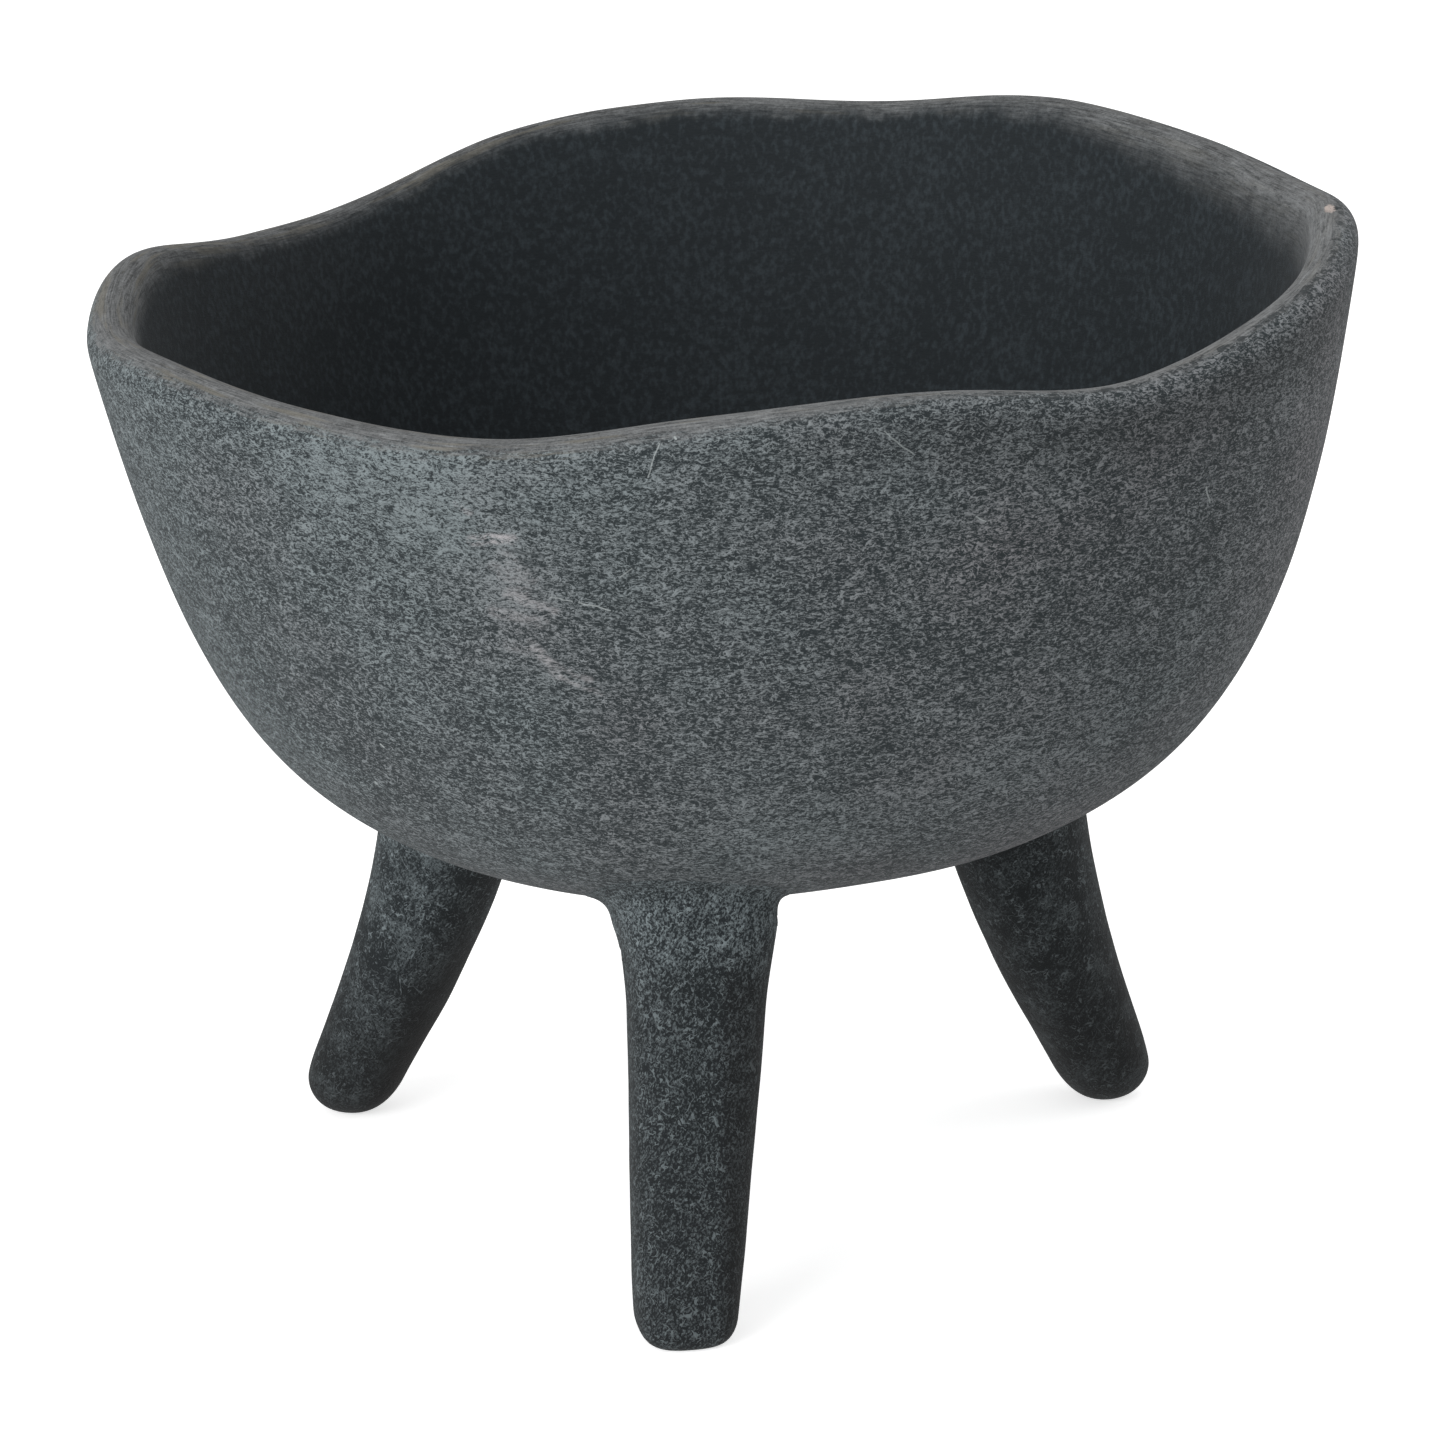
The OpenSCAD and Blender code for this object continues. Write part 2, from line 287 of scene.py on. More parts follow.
def lump_from(node, name):
    """A piece with a CAD node's shape, its loose triangles welded and paired into quads."""
    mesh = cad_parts[node].data.copy()
    mesh.name = name
    mesh.materials.clear()
    piece = bpy.data.objects.new(name, mesh)
    bpy.context.scene.collection.objects.link(piece)
    pick_only(piece)
    bpy.ops.object.mode_set(mode="EDIT")
    bpy.ops.mesh.select_all(action="SELECT")
    bpy.ops.mesh.remove_doubles(threshold=WELD)
    bpy.ops.mesh.tris_convert_to_quads(
        face_threshold=PAIRING_ANGLE, shape_threshold=PAIRING_ANGLE)
    bpy.ops.mesh.customdata_custom_splitnormals_clear()
    bpy.ops.object.mode_set(mode="OBJECT")
    if not mesh.polygons:
        raise RuntimeError(f"the node {node} has no faces to shape")
    return piece


def keep_creases(piece, angle):
    """Edges sharper than the angle stay sharp when the piece is smoothed."""
    pick_only(piece)
    bpy.ops.object.mode_set(mode="EDIT")
    bpy.ops.mesh.select_mode(type="EDGE")
    bpy.ops.mesh.select_all(action="DESELECT")
    bpy.ops.mesh.edges_select_sharp(sharpness=angle)
    bpy.ops.transform.edge_crease(value=1.0)
    bpy.ops.mesh.select_mode(type="VERT")
    bpy.ops.object.mode_set(mode="OBJECT")


def smooth(piece, levels):
    """Divides and rounds the faces."""
    if not levels:
        return
    pick_only(piece)
    rounding = piece.modifiers.new("rounding", "SUBSURF")
    rounding.levels = rounding.render_levels = levels
    bpy.ops.object.modifier_apply(modifier=rounding.name)


def press(piece, name, size, depth, share=None):
    """Presses soft hollows of that size and depth into the surface.

    The share says how much of it each point takes: 1 is all, and it is 1 without a share.
    """
    pick_only(piece)
    pattern = bpy.data.textures.new(name, "CLOUDS")
    pattern.noise_scale = size
    pattern.noise_depth = 1
    hollows = piece.modifiers.new(name, "DISPLACE")
    hollows.texture = pattern
    hollows.texture_coords = "LOCAL"
    hollows.mid_level = 0.5
    hollows.strength = depth
    if share is not None:
        taken = piece.vertex_groups.new(name="taken")
        for point in piece.data.vertices:
            taken.add([point.index], share(point.co), "REPLACE")
        hollows.vertex_group = taken.name
    bpy.ops.object.modifier_apply(modifier=hollows.name)
    piece.vertex_groups.clear()
    bpy.data.textures.remove(pattern)


def ease(values):
    """From 0 to 1, softly at both ends."""
    held = np.clip(values, 0, 1)
    return held * held * (3 - 2 * held)


def middle_at(leg, height):
    """The middle of a leg at that height."""
    points = points_of(leg.data)
    ring = points[np.abs(points[:, 2] - height) < RING_HEIGHT]
    if not len(ring):
        raise RuntimeError(f"{leg.name} does not reach {height}")
    return 0.5 * (ring.min(0) + ring.max(0))


def flare_root(piece, foot, root, wall, out, reach):
    """Widens the top of a leg towards the wall, about the line from its foot to its root."""
    bpy.context.view_layer.update()
    points = points_of(piece.data)
    gap = np.array([(Vector(point) - wall.closest_point_on_mesh(point)[1]).length
                    for point in points])
    line = foot + (points[:, 2:] - foot[2]) / (root[2] - foot[2]) * (root - foot)
    away = points - line
    away[:, 2] = 0
    away /= np.maximum(np.linalg.norm(away, axis=1), 1 * MM)[:, None]
    share = ease(gap / FLARE_START) * (1 - ease(gap / reach))
    put_points(piece.data, points + away * (out * share)[:, None])


def sink_edges(piece, into, reach, depth):
    """Where the piece lies against another, its thin edge sinks into it, so that no gap shows."""
    pick_only(piece)
    bpy.context.view_layer.update()
    edge = piece.vertex_groups.new(name="edge")
    for point in piece.data.vertices:
        found, nearest, _, _ = into.closest_point_on_mesh(point.co)
        if found and (point.co - nearest).length < reach:
            edge.add([point.index], 1.0, "REPLACE")
    hug = piece.modifiers.new("hug", "SHRINKWRAP")
    hug.target = into
    hug.vertex_group = edge.name
    hug.wrap_method = "NEAREST_SURFACEPOINT"
    hug.wrap_mode = "ON_SURFACE"
    hug.offset = -depth
    bpy.ops.object.modifier_apply(modifier=hug.name)
    piece.vertex_groups.clear()


def points_of(mesh):
    """The places of a mesh's points, a row each."""
    points = np.empty(len(mesh.vertices) * 3)
    mesh.vertices.foreach_get("co", points)
    return points.reshape(-1, 3)


def normals_of(mesh):
    """Which way each point of a mesh faces, a row each."""
    normals = np.empty(len(mesh.vertices) * 3)
    mesh.vertices.foreach_get("normal", normals)
    return normals.reshape(-1, 3)


def put_points(mesh, points):
    """Moves each point of a mesh to its row's place."""
    mesh.vertices.foreach_set("co", points.ravel())
    mesh.update()


def keep_inside(mesh, low, high):
    """No point leaves the frame's own box, so that soles stay flat on the floor."""
    put_points(mesh, np.clip(points_of(mesh), np.array(low), np.array(high)))


def flake(piece, centre, radius, depth):
    """Knocks a shallow flake off: finer faces there, then a dished hollow with a ragged edge."""
    pick_only(piece)
    mesh = piece.data
    reach = FLAKE_REACH * radius
    for _ in range(2):
        near = np.linalg.norm(points_of(mesh) - np.array(centre), axis=1) < reach
        if near.sum() < 3:
            raise RuntimeError("the flake lies off the rim")
        bpy.ops.object.mode_set(mode="EDIT")
        bpy.ops.mesh.select_mode(type="VERT")
        bpy.ops.mesh.select_all(action="DESELECT")
        bpy.ops.object.mode_set(mode="OBJECT")
        mesh.vertices.foreach_set("select", near)
        bpy.ops.object.mode_set(mode="EDIT")
        bpy.ops.mesh.subdivide(number_cuts=1, smoothness=0.0, quadcorner="INNERVERT")
        bpy.ops.object.mode_set(mode="OBJECT")
    points, normals = points_of(mesh), normals_of(mesh)
    away = points - np.array(centre)
    distance = np.linalg.norm(away, axis=1)
    lobes = np.sin(3 * np.arctan2(away[:, 1], away[:, 0]) + 1.0)
    ragged = radius * (1 + FLAKE_RAGGED * lobes)
    sunk = np.clip(1 - distance / ragged, 0, 1)
    sunk = np.minimum(1, FLAKE_STEEP * sunk)
    put_points(mesh, points - normals * (depth * sunk * sunk * (3 - 2 * sunk))[:, None])


def note_rim_distance(piece):
    """Notes on each point how far it is from the rim's crest: above 0 outside, below 0 inside."""
    mesh = piece.data
    points, normals = points_of(mesh), normals_of(mesh)
    middle = 0.5 * (points[:, :2].min(0) + points[:, :2].max(0))
    flat = points[:, :2] - middle
    radius = np.linalg.norm(flat, axis=1)
    outward = flat / np.maximum(radius, 1e-9)[:, None]
    turn = np.arctan2(flat[:, 1], flat[:, 0])
    part = ((turn + math.pi) / (2 * math.pi) * RIM_SLICES).astype(int) % RIM_SLICES
    crest_up, crest_out = np.zeros(RIM_SLICES), np.zeros(RIM_SLICES)
    for i in range(RIM_SLICES):
        mine = np.where(part == i)[0]
        if not len(mine):
            raise RuntimeError("the rim has a gap")
        top = mine[np.argmax(points[mine, 2])]
        crest_up[i], crest_out[i] = points[top, 2], radius[top]
    soft = np.array([1, 2, 3, 2, 1]) / 9
    at = (np.arange(RIM_SLICES) + 0.5) / RIM_SLICES * 2 * math.pi - math.pi
    up, out = (
        np.interp(turn, at, np.convolve(np.r_[row[-2:], row, row[:2]], soft, "valid"),
                  period=2 * math.pi)
        for row in (crest_up, crest_out))
    distance = np.hypot(radius - out, points[:, 2] - up)
    lean = (normals[:, :2] * outward).sum(1)
    deep = distance > DEEP
    inside = ((lean < 0) & (normals[:, 2] > -0.5)) | (deep & (normals[:, 2] > 0.3))
    signed = np.where(inside, -distance, distance)
    note = mesh.attributes.new(RIM_DISTANCE, "FLOAT", "POINT")
    note.data.foreach_set("value", signed.astype(np.float32))


def finish_piece(piece, material, node, angle=SHADING_ANGLE):
    """Smooth shading, its material, and its place in the frame."""
    pick_only(piece)
    bpy.ops.object.shade_smooth_by_angle(angle=angle)
    piece.data.materials.append(material)
    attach(piece, BODY)
    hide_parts(node)
    piece.select_set(False)


# ---------------------------------------------------------------- finishes


class Wire:
    """A value running through a finish, so that sums on it are written as sums."""

    def __init__(self, finish, socket):
        self.finish = finish
        self.socket = socket

    def _do(self, operation, *values):
        settings = {"operation": operation}
        return self.finish.node("ShaderNodeMath", settings, dict(enumerate(values)))

    def __add__(self, other):
        return self._do("ADD", self, other)

    def __sub__(self, other):
        return self._do("SUBTRACT", self, other)

    def __rsub__(self, other):
        return self._do("SUBTRACT", other, self)

    def __mul__(self, other):
        return self._do("MULTIPLY", self, other)

    def __truediv__(self, other):
        return self._do("DIVIDE", self, other)

    def __abs__(self):
        return self._do("ABSOLUTE", self)

    __radd__ = __add__
    __rmul__ = __mul__


class Finish:
    """One material, written as a recipe."""

    def __init__(self, name):
        self.material = bpy.data.materials.new(name)
        self.material.use_nodes = True
        self.tree = self.material.node_tree
        self.tree.nodes.clear()
        self.place = self.node("ShaderNodeTexCoord", output="Object")

    def node(self, kind, settings=None, inputs=None, output=0):
        """Adds a node: its settings first, then its values and links."""
        made = self.tree.nodes.new(kind)
        for name, value in (settings or {}).items():
            setattr(made, name, value)
        for name, value in (inputs or {}).items():
            if isinstance(value, Wire):
                self.tree.links.new(value.socket, made.inputs[name])
            else:
                made.inputs[name].default_value = value
        return Wire(self, made.outputs[output])

    def note(self, name):
        """What was noted on the piece's points."""
        return self.node("ShaderNodeAttribute", {"attribute_name": name}, output="Fac")

    def stretch(self, place, by):
        """A pattern on the result is squeezed by those amounts along each axis."""
        return self.node("ShaderNodeVectorMath", {"operation": "MULTIPLY"}, {0: place, 1: by})

    def shift(self, place, by):
        """The place, moved."""
        return self.node("ShaderNodeVectorMath", {"operation": "ADD"}, {0: place, 1: by})

    def join(self, x, y, z):
        """One place from three numbers."""
        return self.node("ShaderNodeCombineXYZ", {}, {0: x, 1: y, 2: z})

    def split(self, place):
        """The three numbers of a place."""
        return [self.node("ShaderNodeSeparateXYZ", {}, {0: place}, output=i) for i in range(3)]

    def cloud(self, place, size, detail=2.0, rough=0.55, swirl=0.0):
        """Noise whose features are about that size, evenly about 0."""
        inputs = {"Vector": place, "Scale": 1 / size, "Detail": detail, "Roughness": rough,
                  "Distortion": swirl}
        return self.node("ShaderNodeTexNoise", {}, inputs) - 0.5

    def waver(self, place, size, amount):
        """The place, pushed about softly, so that what is drawn on it wavers."""
        inputs = {"Vector": place, "Scale": 1 / size, "Detail": 1.0, "Roughness": 0.5}
        push = self.node("ShaderNodeTexNoise", {}, inputs, output="Color")
        return self.node("ShaderNodeVectorMath", {"operation": "MULTIPLY_ADD"},
                         {0: push, 1: (amount,) * 3, 2: self.shift(place, (-0.5 * amount,) * 3)})

    def fade(self, value, start, end):
        """From 0 at start, softly, to 1 at end."""
        inputs = {"Value": value, "From Min": start, "From Max": end, "To Min": 0.0, "To Max": 1.0}
        return self.node("ShaderNodeMapRange", {"interpolation_type": "SMOOTHSTEP"}, inputs)

    def clamp(self, value):
        """The value, kept between 0 and 1."""
        return self.node("ShaderNodeClamp", {}, {"Value": value})

    def spot(self, place, centre, radii):
        """1 at the centre, softly down to 0 at those distances along each axis."""
        away = self.shift(place, [-c for c in centre])
        scaled = self.stretch(away, [1 / r for r in radii])
        far = self.node("ShaderNodeVectorMath", {"operation": "LENGTH"},
                        {0: scaled}, output="Value")
        return self.fade(far, 1.0, 0.0)

    def spots(self, place, table):
        """All those spots together, each as strong as the table says."""
        return sum(strength * self.spot(place, [MM * c for c in centre], [MM * r for r in radii])
                   for centre, radii, strength in table)

    def hairs(self, place, size, width, amount, seed):
        """Thin curly lines, broken up so that only some of them show."""
        moved = self.shift(place, (seed * 0.37, seed * 0.61, seed * 0.23))
        field = self.cloud(moved, size, 1.0, 0.5, 0.6)
        line = self.fade(abs(field), width, 0.0)
        gate = self.fade(self.cloud(moved, 0.9 * size, 1.0), 0.14 - amount, 0.20 - amount)
        return line * gate

    def blend(self, factor, first, second):
        """Goes from the first colour to the second."""
        ends = [c if isinstance(c, Wire) else (*tuple(c)[:3], 1.0) for c in (first, second)]
        return self.node("ShaderNodeMix", {"data_type": "RGBA", "clamp_factor": True},
                         {0: factor, 6: ends[0], 7: ends[1]}, output=2)

    def shade(self, colour, factor):
        """Multiplies a colour by a number."""
        return self.node("ShaderNodeVectorMath", {"operation": "SCALE"},
                         {0: colour, "Scale": factor})

    def scratch(self, place, start, end, width):
        """1 on a thin line between two points, softly down to 0 beside it."""
        along = Vector(end) - Vector(start)
        away = self.shift(place, [-c for c in start])
        far = self.node("ShaderNodeVectorMath", {"operation": "DOT_PRODUCT"},
                        {0: away, 1: along / along.length_squared}, output="Value")
        foot = self.node("ShaderNodeVectorMath", {"operation": "SCALE"},
                         {0: along, "Scale": self.clamp(far)})
        beside = self.node("ShaderNodeVectorMath", {"operation": "DISTANCE"},
                           {0: away, 1: foot}, output="Value")
        return self.fade(beside, width, 0.2 * width)

    def marks(self, place, lines):
        """All those marks together: their strength on them, 0 elsewhere."""
        found = 0.0
        for start, end, width, strength in lines:
            ends = [(MM * across, 0.0, MM * up) for across, up in (start, end)]
            found = strength * self.scratch(place, *ends, MM * width) + found
        return self.clamp(found)

    def surface(self, colour, roughness, height, relief, gloss=0.25, sheen=0.0, glow=0.0):
        """The material, once its colour, roughness and grain are known."""
        bump = self.node("ShaderNodeBump", {},
                         {"Strength": 1.0, "Distance": relief, "Height": height})
        inputs = {"Base Color": colour, "Roughness": roughness, "Normal": bump,
                  "Specular IOR Level": gloss, "Sheen Weight": sheen, "Sheen Roughness": 0.6,
                  "Emission Color": (1.0, 1.0, 1.0, 1.0), "Emission Strength": glow}
        shader = self.node("ShaderNodeBsdfPrincipled", {}, inputs)
        out = self.tree.nodes.new("ShaderNodeOutputMaterial")
        self.tree.links.new(shader.socket, out.inputs["Surface"])
        return self.material


def bowl_clay(clay):
    """Dark slip, brushed round the outside and rubbed pale, with painted light and shade; a wiped
    lip with painted highlights; a near black inside.
    """
    f = Finish("rubbed_bowl_clay")
    rim = f.note(RIM_DISTANCE)
    x, y, z = f.split(f.place)
    grain = clay.grain

    # outside: wavering strokes drawn out round the bowl, over mottle and wide clouds, with broad
    # painted light and shade
    wavering = f.waver(f.place, 3.2 * MM, 1.4 * MM)
    drawn = f.stretch(wavering, (1.0, 1.0, 3.2))
    strokes = f.cloud(f.stretch(wavering, (1.0, 1.0, 3.6)), 1.8 * grain, 2.0, 0.65)
    fibres = f.cloud(f.shift(f.stretch(f.place, (1.0, 1.0, 1.5)), (0.3, 0.1, 0.2)),
                     1.2 * grain, 2.0, 0.6, 1.0)
    tufts = f.cloud(drawn, 5.0 * grain, 3.0, 0.7)
    mottle = f.cloud(f.place, 6 * MM, 3.0, 0.6)
    drift = f.cloud(f.place, 30 * MM, 2.0, 0.5)
    brushed = f.cloud(f.stretch(wavering, (1.0, 1.0, 7.0)), 9 * MM, 3.0, 0.65)
    leaning = f.stretch(wavering, (1.0, 1.0, 1.5))
    hairs = (f.hairs(leaning, 1.2 * MM, 0.045, 0.15, 1.0)
             + f.hairs(leaning, 2.2 * MM, 0.030, 0.13, 2.0)
             - 0.7 * f.hairs(leaning, 1.6 * MM, 0.045, 0.12, 6.0))
    streaks = f.cloud(f.stretch(wavering, (1.0, 1.0, 5.5)), 4.0 * MM, 3.0, 0.7)
    wiped_off = f.fade(streaks, -0.12, 0.14)
    torn = f.join(x + 30 * MM * streaks, y, z)
    worn = f.spots(torn, WORN_SPOTS) * (0.45 + 0.9 * wiped_off)
    # painted light and shade: the broad spots, and a painted sheen that makes the outside paler
    # towards its left and right sides
    painted_light_and_shade = f.spots(f.place, PAINTED_LIGHT_AND_SHADE) + 0.11 * f.fade(abs(x), 62 * MM, 82 * MM)
    tone = (0.215 + 2.9 * strokes + 3.3 * fibres + 1.1 * tufts + 0.5 * mottle + 0.3 * drift
            + 0.7 * brushed + hairs + worn + painted_light_and_shade)
    warmth = f.clamp(0.35 + 1.6 * f.cloud(f.shift(f.place, (0.5, 0.2, 0.7)), 26 * MM, 2.0)
                     + 4.0 * x - 2.0 * (z - 0.1))
    outside = f.blend(f.clamp(tone), clay.dark, f.blend(warmth, clay.light, clay.warm))

    # the lip: wiped along the rim, with a painted highlight line along its inner side and a
    # painted highlight on its broken outer edge on the right
    back = f.fade(y, -20 * MM, 50 * MM)
    right = f.fade(x, -10 * MM, 50 * MM)
    wiped = f.cloud(f.join(x, y, 9.0 * rim), 3.6 * MM, 4.0, 0.75)
    olive = f.fade(f.cloud(f.join(x, y, 12.0 * rim), 16 * MM, 2.0), 0.02, 0.16)
    # a painted highlight: a thin pale line along the lip's inner side
    inner_lip_highlight = f.fade(abs(rim + 3.7 * MM), 0.9 * MM, 0.2 * MM)
    lines = f.cloud(f.join(x, y, 24.0 * rim), 5.0 * MM, 3.0, 0.65)
    lip = f.shade(clay.lip, 1.08 + 2.4 * wiped + 2.6 * lines + 1.8 * fibres + 0.6 * mottle
                  + 0.25 * inner_lip_highlight + 0.22 * f.fade(x, -30 * MM, 5 * MM) - 0.28 * back)
    lip = f.blend(0.55 * olive * (1.0 - 0.7 * right), lip, clay.lip_olive)
    lip = f.blend(0.8 * f.fade(wiped, -0.06, -0.16), lip, clay.lip_dark)
    # a painted highlight along the rounded outer edge of the lip, on the right
    ridge_highlight = f.fade(rim, 0.5 * MM, 1.2 * MM) * f.fade(rim, 3.4 * MM, 2.0 * MM) * right
    pits = f.fade(f.cloud(f.stretch(f.place, (1.0, 1.0, 1.6)), 2.0 * MM, 3.0, 0.75), -0.02, 0.05)
    shaded_pit_line = f.fade(abs(rim - 0.8 * MM - 1.5 * MM * wiped), 0.6 * MM, 0.25 * MM) * pits * right

    # inside: soft mottle hanging down the wall, paler towards the rim
    hung = f.cloud(f.stretch(f.place, (1.0, 1.0, 0.75)), 0.9 * MM, 2.0, 0.6)
    patch = f.cloud(f.place, 9 * MM, 2.0)
    inside = f.blend(f.clamp(0.20 + 3.8 * hung + 0.9 * patch), clay.inner, clay.inner_light)

    lip_edge = 3.0 * MM - 2.0 * MM * right + 5.0 * MM * wiped
    from_lip = f.fade(rim - lip_edge, -1.0 * MM, 1.0 * MM)
    far_right = f.fade(x, 35 * MM, 70 * MM)
    dark_from = -2.0 * MM + 1.4 * MM * back
    dark_to = -8.0 * MM + 3.6 * MM * back - 4.5 * MM * far_right
    below_lip = (rim + 3.0 * MM * mottle + 1.5 * MM * hung - dark_from) / (dark_to - dark_from)
    into_bowl = f.fade(below_lip, 0.0, 1.0)
    colour = f.blend(from_lip, lip, f.shade(outside, 1.0 + 0.1 * ridge_highlight))
    # painted shade in the pits along the lip's outer edge
    colour = f.blend(0.75 * shaded_pit_line, colour, clay.dark)
    shadow_band = f.fade(rim, 3.0 * MM, 5.0 * MM) * f.fade(rim, 14 * MM, 7 * MM) * right
    colour = f.shade(colour, 1.0 - 0.25 * shadow_band)
    colour = f.blend(into_bowl, colour, inside)

    # marks on the front: scrapes, thin pale scratches and flecks, bare clay where a flake came off
    sway = 0.8 * MM
    across = f.join(x + sway * f.cloud(f.place, 3 * MM, 1.0), 0.0,
                    z + sway * f.cloud(f.shift(f.place, (0.1, 0.1, 0.1)), 3 * MM, 1.0))
    front = f.fade(y, 0.0, -10 * MM) * f.fade(rim, -2.5 * MM, -0.5 * MM)
    scraped = f.marks(across, SCRAPES) * front * f.fade(streaks + strokes, -0.16, 0.12)
    colour = f.blend(scraped, colour, clay.scraped)
    colour = f.blend(f.marks(across, DARK_SCRAPES) * front, colour, clay.dark)
    colour = f.blend(f.marks(across, SCRATCHES) * front, colour, clay.bare_light)
    width = bowl_settings().chip_radius
    chip = f.spot(f.place, bowl_settings().chip, (0.8 * width, 2.4 * width, 1.1 * width))
    colour = f.blend(f.fade(chip * (1.0 + 3.0 * fibres), 0.12, 0.5), colour, clay.bare)

    out_share = f.fade(rim, 0.0, 2.5 * MM)
    height = (out_share * (0.9 * strokes + 0.9 * fibres + 0.25 * hairs)
              + (1.0 - out_share) * (0.4 * strokes + 0.4 * wiped) - 0.9 * shaded_pit_line)
    rough = clay.roughness + 0.25 * strokes
    return f.surface(colour, rough, height, clay.relief, gloss=0.35, sheen=0.04)


def leg_clay(clay):
    """The darker slip of legs and coils: matted, hairy and brushed, paler towards the bowl, with
    painted light and shade on the legs' sides.
    """
    f = Finish(LEG_FINISH)
    grain = clay.grain
    x, y, z = f.split(f.place)
    wavering = f.waver(f.place, 2.6 * MM, 1.6 * MM)
    across, back, up = f.split(wavering)
    strokes = f.cloud(f.stretch(f.place, (1.2, 1.2, 1.0)), 0.95 * grain, 2.0, 0.6, 0.4)
    slanted = f.cloud(f.join(4.0 * (across - 0.6 * up), back, 0.8 * up), 3.0 * grain, 3.0, 0.7)
    mottle = f.cloud(f.place, 5 * MM, 3.0, 0.6)
    down = f.cloud(f.stretch(wavering, (1.0, 1.0, 0.12)), 0.9 * MM, 2.0, 0.6)
    hairs = (f.hairs(f.place, 1.0 * MM, 0.032, 0.10, 3.0)
             + f.hairs(f.place, 1.6 * MM, 0.024, 0.10, 4.0)
             + f.hairs(f.place, 2.4 * MM, 0.018, 0.10, 5.0)
             - 0.6 * f.hairs(f.place, 1.8 * MM, 0.035, 0.10, 7.0))
    behind = f.fade(y, -25 * MM, 0.0)
    on_right = f.fade(x, -10 * MM, 10 * MM)
    right_face = (1.0 - behind) * f.fade(x, 2.0 * MM, 6.0 * MM)
    low = f.fade(z, 45 * MM, 5 * MM)
    root = f.fade(z + 8.0 * MM * mottle, 45 * MM, 54 * MM)
    fine = 1.0 - 0.4 * behind
    tone = (0.085 + 0.025 * behind + 0.16 * root + fine * (3.2 * strokes + 1.8 * slanted)
            + (0.6 + 1.0 * behind) * mottle + (0.4 + 1.8 * right_face) * down
            + (1.9 - 1.1 * right_face) * fine * hairs)
    colour = f.blend(f.clamp(tone), clay.leg_dark, clay.leg_light)
    # painted shade on the legs' sides turned from the light: the front leg's right face, the left
    # leg's right side and the whole right leg; painted light on the rest of the left leg; darker
    # towards the feet and paler towards the bowl
    front_leg_shaded_face = (1.0 - behind) * f.fade(x, -0.5 * MM, 2.0 * MM) * f.fade(z, 56 * MM, 44 * MM)
    left_leg_shaded_side = behind * (1.0 - on_right) * f.fade(x - 0.33 * z, -56 * MM, -47 * MM)
    painted_light_shade_and_tone = (0.91 - 0.46 * front_leg_shaded_face + 0.38 * behind * (1.0 - on_right) - 0.55 * left_leg_shaded_side
              - (0.84 - 0.46 * on_right) * behind * low - 0.14 * (1.0 - behind) * low
              - 0.20 * behind * on_right + 0.42 * root)
    colour = f.shade(colour, painted_light_shade_and_tone)
    height = strokes + 0.8 * slanted + 0.3 * hairs
    rough = clay.roughness + 0.2 * strokes
    return f.surface(colour, rough, height, clay.relief, gloss=0.3, sheen=0.03)


# ---------------------------------------------------------------- operators


def bowl_settings():
    """The bowl's settings, as they stand in this file."""
    return bpy.context.scene.molcajete_bowl


class MOLCAJETE_OT_bowl(bpy.types.Operator):
    """Smooths the bowl, presses hand hollows into its wall, flakes the rim and lays on the slip"""

    bl_idname = "molcajete.bowl"
    bl_label = "Shape the bowl"

    def execute(self, context):
        size = bowl_settings()
        low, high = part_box("bowl")
        piece = lump_from("bowl", "clay_bowl")
        smooth(piece, size.smoothing)
        roots = max(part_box(f"coil_{side}")[1].z for side in SIDES)
        press(piece, "hand_hollows", size.hollow_size, size.hollows,
              lambda point: min(1.0, max(0.0, (point.z - roots) / size.hollow_size)))
        keep_inside(piece.data, low, high)
        note_rim_distance(piece)
        flake(piece, size.chip, size.chip_radius, size.chip_depth)
        finish_piece(piece, bowl_clay(context.scene.molcajete_clay), "bowl")
        return {"FINISHED"}


class MOLCAJETE_OT_legs(bpy.types.Operator):
    """Smooths the three legs, dents them and lays on their slip"""

    bl_idname = "molcajete.legs"
    bl_label = "Shape the legs"

    def execute(self, context):
        size = context.scene.molcajete_legs
        slip = leg_clay(context.scene.molcajete_clay)
        for side in SIDES:
            node = f"leg_{side}"
            low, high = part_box(node)
            piece = lump_from(node, f"clay_leg_{side}")
            keep_creases(piece, context.scene.molcajete_coils.crease_angle)
            smooth(piece, size.smoothing)
            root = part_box(f"coil_{side}")[0].z
            press(piece, f"dents_{side}", size.dent_size, size.dents,
                  lambda point: min(1.0, max(0.0, (root - point.z) / size.dent_size)))
            keep_inside(piece.data, low, high)
            flare_root(piece, middle_at(piece, 0.3 * root), middle_at(piece, root),
                       bpy.data.objects["clay_bowl"], size.flare, size.flare_reach)
            finish_piece(piece, slip, node)
        return {"FINISHED"}


class MOLCAJETE_OT_coils(bpy.types.Operator):
    """Smears a coil of clay round each leg's top, where it joins the bowl"""

    bl_idname = "molcajete.coils"
    bl_label = "Smear the joining coils"

    def execute(self, context):
        size, legs = context.scene.molcajete_coils, context.scene.molcajete_legs
        slip = bpy.data.materials[LEG_FINISH]
        for side in SIDES:
            node = f"coil_{side}"
            piece = lump_from(node, f"clay_coil_{side}")
            keep_creases(piece, size.crease_angle)
            smooth(piece, size.smoothing)
            leg, root = bpy.data.objects[f"clay_leg_{side}"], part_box(node)[0].z
            flare_root(piece, middle_at(leg, 0.3 * root), middle_at(leg, root),
                       bpy.data.objects["clay_bowl"], legs.flare, legs.flare_reach)
            for wall in ("clay_bowl", f"clay_leg_{side}"):
                sink_edges(piece, bpy.data.objects[wall], size.reach, size.sink)
            finish_piece(piece, slip, node, angle=size.crease_angle)
        return {"FINISHED"}


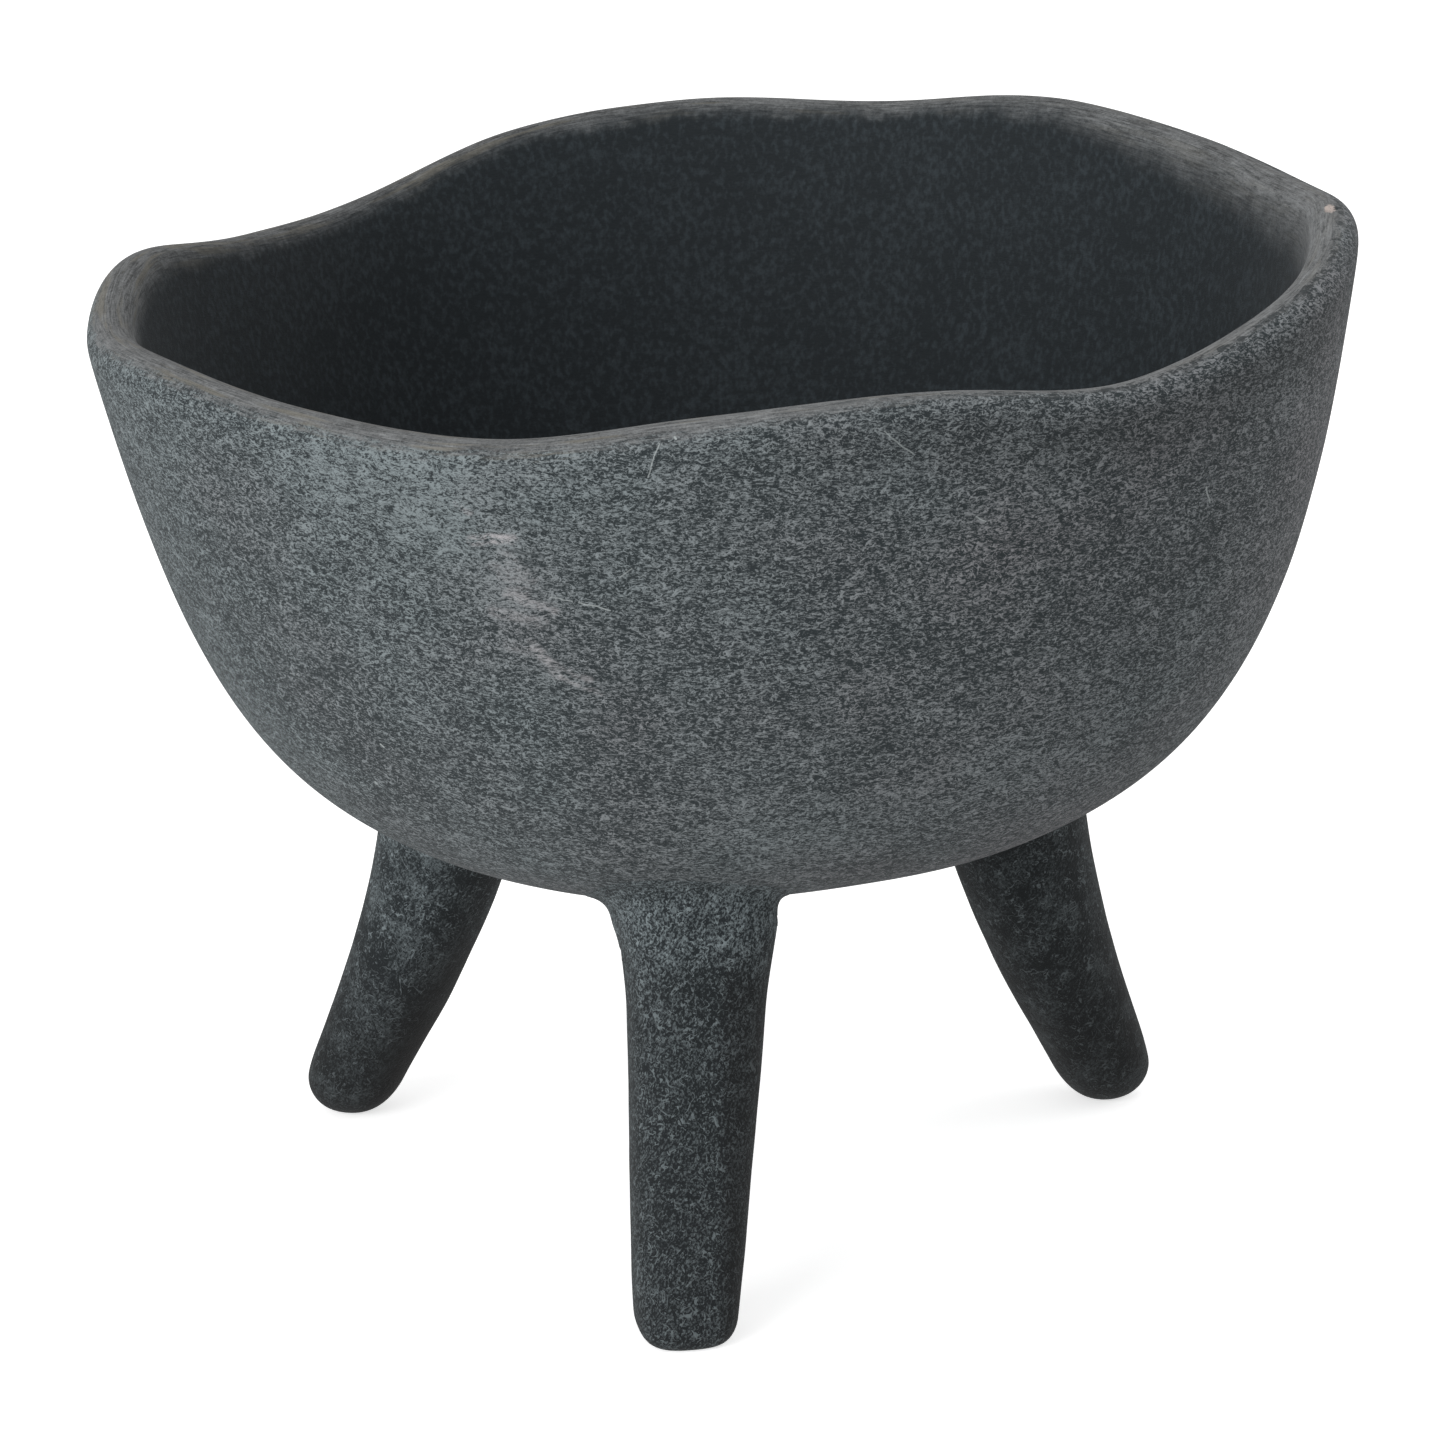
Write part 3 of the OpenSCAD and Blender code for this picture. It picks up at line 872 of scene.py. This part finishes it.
SWEEP_SIDES = 96
SWEEP_STEPS = 8
SENSOR_WIDTH = 36.0
NEAREST_SEEN = 0.01
# Each light: its place and its width in metres, and the setting with its power.
LIGHTS = {
    "key_light": ((-0.81, -0.95, 0.42), 0.9, "key_power"),
    "top_light": ((0.15, -0.05, 1.3), 1.0, "top_power"),
    "edge_light": ((1.1, 0.45, 0.35), 0.6, "edge_power"),
}


def soft_light(name, place, aim, width, power):
    """A large square light at a place, turned to face the aim."""
    bpy.ops.object.select_all(action="DESELECT")
    bpy.ops.object.light_add(type="AREA", location=place)
    light = bpy.context.object
    light.name = name
    light.data.shape = "SQUARE"
    light.data.size = width
    light.data.energy = power
    light.rotation_euler = (Vector(aim) - Vector(place)).to_track_quat("-Z", "Y").to_euler()
    return light


def white_sweep(radius, height):
    """A round floor whose edge curves up all round into a wall, so that no horizon shows."""
    bpy.ops.object.select_all(action="DESELECT")
    bpy.ops.mesh.primitive_circle_add(vertices=SWEEP_SIDES, radius=radius, fill_type="NGON")
    floor = bpy.context.object
    floor.name = "pale_floor"
    bpy.ops.object.mode_set(mode="EDIT")
    bpy.ops.mesh.select_all(action="SELECT")
    bpy.ops.mesh.region_to_loop()
    for i in range(SWEEP_STEPS):
        now, then = (math.pi / 2 * (i + k) / SWEEP_STEPS for k in (0, 1))
        rise = height * (math.cos(now) - math.cos(then))
        out = (radius + height * math.sin(then)) / (radius + height * math.sin(now))
        bpy.ops.mesh.extrude_edges_move(TRANSFORM_OT_translate={"value": (0.0, 0.0, rise)})
        bpy.ops.transform.resize(value=(out, out, 1.0))
    bpy.ops.mesh.select_all(action="SELECT")
    bpy.ops.mesh.normals_make_consistent(inside=True)
    bpy.ops.object.mode_set(mode="OBJECT")
    bpy.ops.object.shade_smooth()
    return floor


class MOLCAJETE_OT_stage(bpy.types.Operator):
    """Lays the pale floor, hangs the soft lights and sets up the camera"""

    bl_idname = "molcajete.stage"
    bl_label = "Set the stage"

    def execute(self, context):
        stage = context.scene.molcajete_stage
        bpy.ops.object.select_all(action="DESELECT")
        floor = white_sweep(stage.floor_radius, stage.sweep_height)
        floor.data.materials.append(floor_finish(stage.floor_glow))
        for ray in ("diffuse", "glossy", "transmission", "volume_scatter", "shadow"):
            setattr(floor, f"visible_{ray}", False)

        aim = Vector(stage.aim)
        for name, (place, width, power) in LIGHTS.items():
            soft_light(name, place, aim, width, getattr(stage, power))

        room = bpy.data.worlds.new("white_room")
        room.use_nodes = True
        wall = room.node_tree.nodes["Background"]
        wall.inputs["Color"].default_value = (1.0, 1.0, 1.0, 1.0)
        wall.inputs["Strength"].default_value = stage.sky
        context.scene.world = room
        context.scene.view_settings.view_transform = "Standard"

        back = Vector((0.0, -math.cos(stage.elevation), math.sin(stage.elevation)))
        bpy.ops.object.camera_add(location=aim + stage.distance * back)
        camera = bpy.context.object
        camera.name = "front_camera"
        camera.rotation_euler = (-back).to_track_quat("-Z", "Y").to_euler()
        camera.data.sensor_width = SENSOR_WIDTH
        camera.data.lens = stage.lens
        camera.data.clip_start = NEAREST_SEEN
        camera.data.dof.use_dof = False
        context.scene.camera = camera
        return {"FINISHED"}


def floor_finish(glow):
    """Plain pale paper, lit a little from below, with a tooth too fine to see."""
    f = Finish("pale_floor_paper")
    tooth = f.cloud(f.place, 1.5 * MM, 2.0)
    colour = f.blend(0.5 + tooth, (0.88, 0.88, 0.88), (0.92, 0.92, 0.92))
    return f.surface(colour, 0.9, tooth, 0.02 * MM, gloss=0.1, glow=glow)


# ---------------------------------------------------------------- panel


class MOLCAJETE_PT_steps(bpy.types.Panel):
    """The steps and their settings, in the order in which they are done."""

    bl_label = "Molcajete"
    bl_idname = "MOLCAJETE_PT_steps"
    bl_space_type = "VIEW_3D"
    bl_region_type = "UI"
    bl_category = "Molcajete"

    def draw(self, context):
        for operator, group in STEPS:
            box = self.layout.box()
            box.operator(operator.bl_idname)
            settings = getattr(context.scene, group)
            for name in settings.__annotations__:
                box.prop(settings, name)
        box = self.layout.box()
        box.label(text="Clay")
        for name in ClaySettings.__annotations__:
            box.prop(context.scene.molcajete_clay, name)


STEPS = (
    (MOLCAJETE_OT_bowl, "molcajete_bowl"),
    (MOLCAJETE_OT_legs, "molcajete_legs"),
    (MOLCAJETE_OT_coils, "molcajete_coils"),
    (MOLCAJETE_OT_stage, "molcajete_stage"),
)
GROUPS = {
    "molcajete_bowl": BowlSettings,
    "molcajete_legs": LegSettings,
    "molcajete_coils": CoilSettings,
    "molcajete_clay": ClaySettings,
    "molcajete_stage": StageSettings,
}


def register():
    """Adds the settings, the steps and the panel."""
    for name, group in GROUPS.items():
        bpy.utils.register_class(group)
        setattr(bpy.types.Scene, name, PointerProperty(type=group))
    for operator, _ in STEPS:
        bpy.utils.register_class(operator)
    bpy.utils.register_class(MOLCAJETE_PT_steps)


def unregister():
    """Takes them away again."""
    bpy.utils.unregister_class(MOLCAJETE_PT_steps)
    for operator, _ in reversed(STEPS):
        bpy.utils.unregister_class(operator)
    for name, group in reversed(GROUPS.items()):
        delattr(bpy.types.Scene, name)
        bpy.utils.unregister_class(group)


def main():
    """Does the steps in order."""
    register()
    for operator, _ in STEPS:
        group, name = operator.bl_idname.split(".")
        getattr(getattr(bpy.ops, group), name)()


if __name__ == "__main__":
    main()
